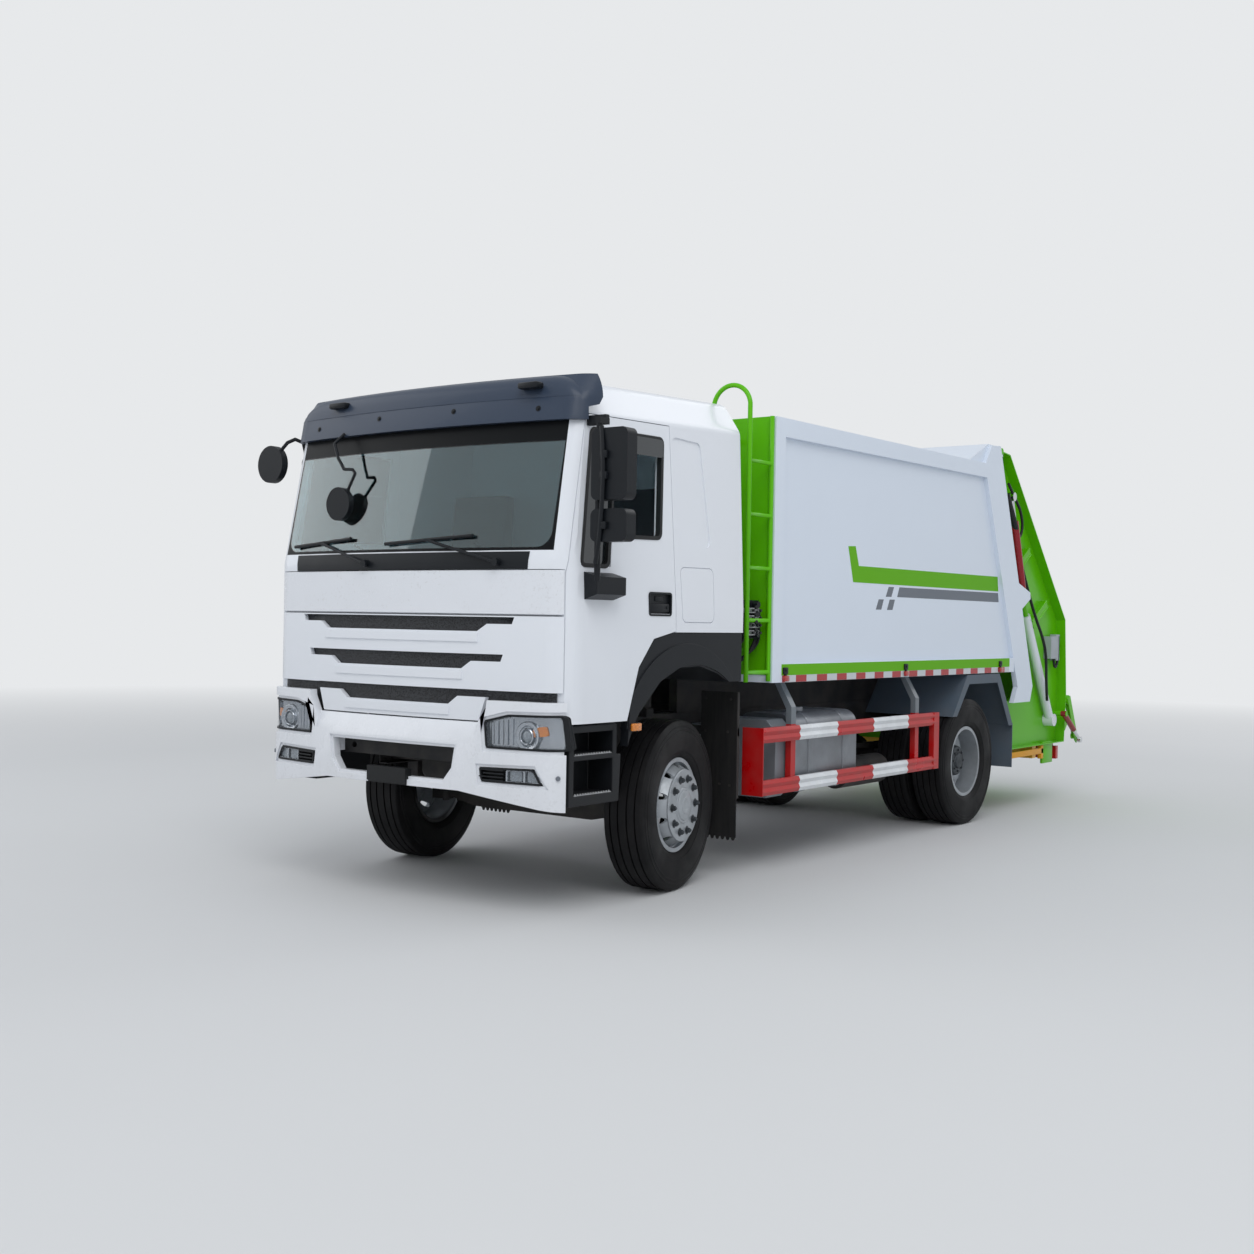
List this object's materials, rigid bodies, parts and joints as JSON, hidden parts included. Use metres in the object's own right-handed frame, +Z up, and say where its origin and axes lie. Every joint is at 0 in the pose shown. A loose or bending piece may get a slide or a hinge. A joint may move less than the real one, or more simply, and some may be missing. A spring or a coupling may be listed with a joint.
{
  "type": "garbage truck",
  "caption": "Two-axle rear-loading garbage truck with a flat-fronted cab, a compactor body, a lifting tailgate with packing slide and blade, and a bin lifter.",
  "frame": {"origin": "on the ground, under the middle of the truck's bounding box", "axes": "+Z up, -Y towards the front of the cab, +X towards the truck's left"},
  "size_m": [3.12, 8.8, 3.335],
  "materials": {
    "cab_white": "gloss white paint",
    "body_white": "gloss pale grey-white paint",
    "green_paint": "bright green paint",
    "visor_paint": "dark blue-grey paint",
    "black_plastic": "moulded black plastic",
    "frame_paint": "dull dark chassis paint",
    "grey_paint": "mid grey paint",
    "red_paint": "red and white guard paint",
    "yellow_paint": "yellow paint",
    "cylinder_white": "white cylinder paint",
    "cylinder_red": "dark red cylinder paint",
    "wheel_silver": "silver wheel paint",
    "rod_chrome": "polished rod",
    "tank_metal": "brushed sheet",
    "tyre": "tread rubber",
    "rubber": "black rubber sheet",
    "glass": "tinted glass",
    "lens": "clear lamp lens",
    "lamp_red": "red lamp lens",
    "seat_cloth": "woven seat cloth",
    "dash_plastic": "grained dashboard plastic",
    "box_grey": "grey box paint"
  },
  "bodies": {
    "chassis": {"chassis_frame": "frame_paint", "engine": "frame_paint", "front_axle": "frame_paint", "rear_axle": "frame_paint", "propeller_shaft": "frame_paint", "fuel_tank": "tank_metal", "battery_box": "grey_paint", "air_tanks": "frame_paint", "side_guards": "red_paint", "cab_shell": "cab_white", "dashboard": "dash_plastic", "seats": "seat_cloth", "windscreen": "glass", "front_panel": "cab_white", "grille": "cab_white", "grille_mesh": "black_plastic", "bumper": "cab_white", "headlamps": "lens", "cowl": "black_plastic", "sun_visor": "visor_paint", "wipers": "black_plastic", "corner_mirrors": "black_plastic", "wheel_arches": "black_plastic", "cab_steps": "black_plastic", "mudflaps": "rubber", "body_shell": "body_white", "bulkhead": "green_paint", "ladder": "green_paint", "valve_block": "black_plastic", "rear_fenders": "grey_paint"},
    "door_left": {"door_left": "cab_white", "mirror_left": "black_plastic"},
    "door_right": {"door_right": "cab_white", "glass_right": "glass", "mirror_right": "black_plastic"},
    "knuckle_left": {"knuckle_left": "frame_paint"},
    "knuckle_right": {"knuckle_right": "frame_paint"},
    "tie_rod": {"tie_rod": "frame_paint"},
    "front_wheel_left": {"front_tyre_left": "tyre", "front_wheel_left": "wheel_silver"},
    "front_wheel_right": {"front_tyre_right": "tyre", "front_wheel_right": "wheel_silver"},
    "rear_wheels_left": {"rear_tyres_left": "tyre", "rear_wheels_left": "wheel_silver"},
    "rear_wheels_right": {"rear_tyres_right": "tyre", "rear_wheels_right": "wheel_silver"},
    "ejector": {"ejector_panel": "body_white"},
    "tailgate": {"tailgate_shell": "green_paint", "hopper": "green_paint", "slide_cylinders": "cylinder_white", "underrun_bar": "yellow_paint", "tail_lamps": "lamp_red", "control_box": "box_grey"},
    "packer_slide": {"slide_panel": "green_paint"},
    "sweep_blade": {"sweep_blade": "green_paint"},
    "lift_barrels": {"lift_barrels": "cylinder_red"},
    "lift_rods": {"lift_rods": "rod_chrome"},
    "bin_lifter": {"bin_lifter": "green_paint"},
    "lifter_barrels": {"lifter_barrels": "cylinder_red"},
    "lifter_rods": {"lifter_rods": "rod_chrome"}
  },
  "joints": [
    {"name": "door_left_hinge", "type": "hinge", "parent": "chassis", "child": "door_left", "pos_m": [1.252, -4.178, 2], "axis": [0, 0, -1], "range_deg": [0, 70]},
    {"name": "door_right_hinge", "type": "hinge", "parent": "chassis", "child": "door_right", "pos_m": [-1.252, -4.178, 2], "axis": [0, 0, 1], "range_deg": [0, 70]},
    {"name": "steer_left", "type": "hinge", "parent": "chassis", "child": "knuckle_left", "pos_m": [0.84, -3, 0.5425], "axis": [0, 0, 1], "range_deg": [-45, 25]},
    {"name": "steer_right", "type": "hinge", "parent": "chassis", "child": "knuckle_right", "pos_m": [-0.84, -3, 0.5425], "axis": [0, 0, 1], "range_deg": [-45, 25]},
    {"name": "tie_rod_pivot", "type": "hinge", "parent": "knuckle_left", "child": "tie_rod", "pos_m": [0.80874, -2.82274, 0.4], "axis": [0, 0, 1], "range_deg": [-25, 45]},
    {"name": "front_wheel_left_spin", "type": "hinge", "parent": "knuckle_left", "child": "front_wheel_left", "pos_m": [1.01727, -2.96874, 0.5425], "axis": [0.9848, 0.1736, 0], "continuous": true},
    {"name": "front_wheel_right_spin", "type": "hinge", "parent": "knuckle_right", "child": "front_wheel_right", "pos_m": [-1.01727, -3.03126, 0.5425], "axis": [0.9848, 0.1736, 0], "continuous": true},
    {"name": "rear_wheels_left_spin", "type": "hinge", "parent": "chassis", "child": "rear_wheels_left", "pos_m": [0.915, 1.3, 0.5425], "axis": [1, 0, 0], "continuous": true},
    {"name": "rear_wheels_right_spin", "type": "hinge", "parent": "chassis", "child": "rear_wheels_right", "pos_m": [-0.915, 1.3, 0.5425], "axis": [1, 0, 0], "continuous": true},
    {"name": "ejector_slide", "type": "slide", "parent": "chassis", "child": "ejector", "axis": [0, 1, 0], "range_m": [0, 3.3]},
    {"name": "tailgate_hinge", "type": "hinge", "parent": "chassis", "child": "tailgate", "pos_m": [0, 2.02, 3.29], "axis": [1, 0, 0], "range_deg": [0, 90]},
    {"name": "packing_slide", "type": "slide", "parent": "tailgate", "child": "packer_slide", "axis": [0, -0.5452, 0.8383], "range_m": [0, 0.7]},
    {"name": "sweep_hinge", "type": "hinge", "parent": "packer_slide", "child": "sweep_blade", "pos_m": [0, 3.107, 1.385], "axis": [1, 0, 0], "range_deg": [0, 90]},
    {"name": "lift_barrel_pivot", "type": "hinge", "parent": "chassis", "child": "lift_barrels", "pos_m": [0, 2.524, 1.994], "axis": [1, 0, 0], "range_deg": [-14.6, 0]},
    {"name": "lift_rod_slide", "type": "slide", "parent": "lift_barrels", "child": "lift_rods", "axis": [0, -0.3216, 0.9469], "range_m": [0, 0.5469]},
    {"name": "bin_lifter_hinge", "type": "hinge", "parent": "tailgate", "child": "bin_lifter", "pos_m": [0, 3.879, 0.985], "axis": [1, 0, 0], "range_deg": [0, 110]},
    {"name": "lifter_barrel_pivot", "type": "hinge", "parent": "tailgate", "child": "lifter_barrels", "pos_m": [0, 3.644, 0.856], "axis": [1, 0, 0], "range_deg": [0, 72.82]},
    {"name": "lifter_rod_slide", "type": "slide", "parent": "lifter_barrels", "child": "lifter_rods", "axis": [0, 0.8503, -0.5263], "range_m": [0, 0.1898]}
  ],
  "couplings": [
    {"joint": "steer_right", "follows": "steer_left", "ratio": 1},
    {"joint": "tie_rod_pivot", "follows": "steer_left", "ratio": -1},
    {"joint": "lift_barrel_pivot", "follows": "tailgate_hinge", "ratio": -0.16206},
    {"joint": "lift_rod_slide", "follows": "tailgate_hinge", "m_per_rad": 0.34787},
    {"joint": "lifter_barrel_pivot", "follows": "bin_lifter_hinge", "ratio": 0.66192},
    {"joint": "lifter_rod_slide", "follows": "bin_lifter_hinge", "m_per_rad": 0.098608}
  ]
}
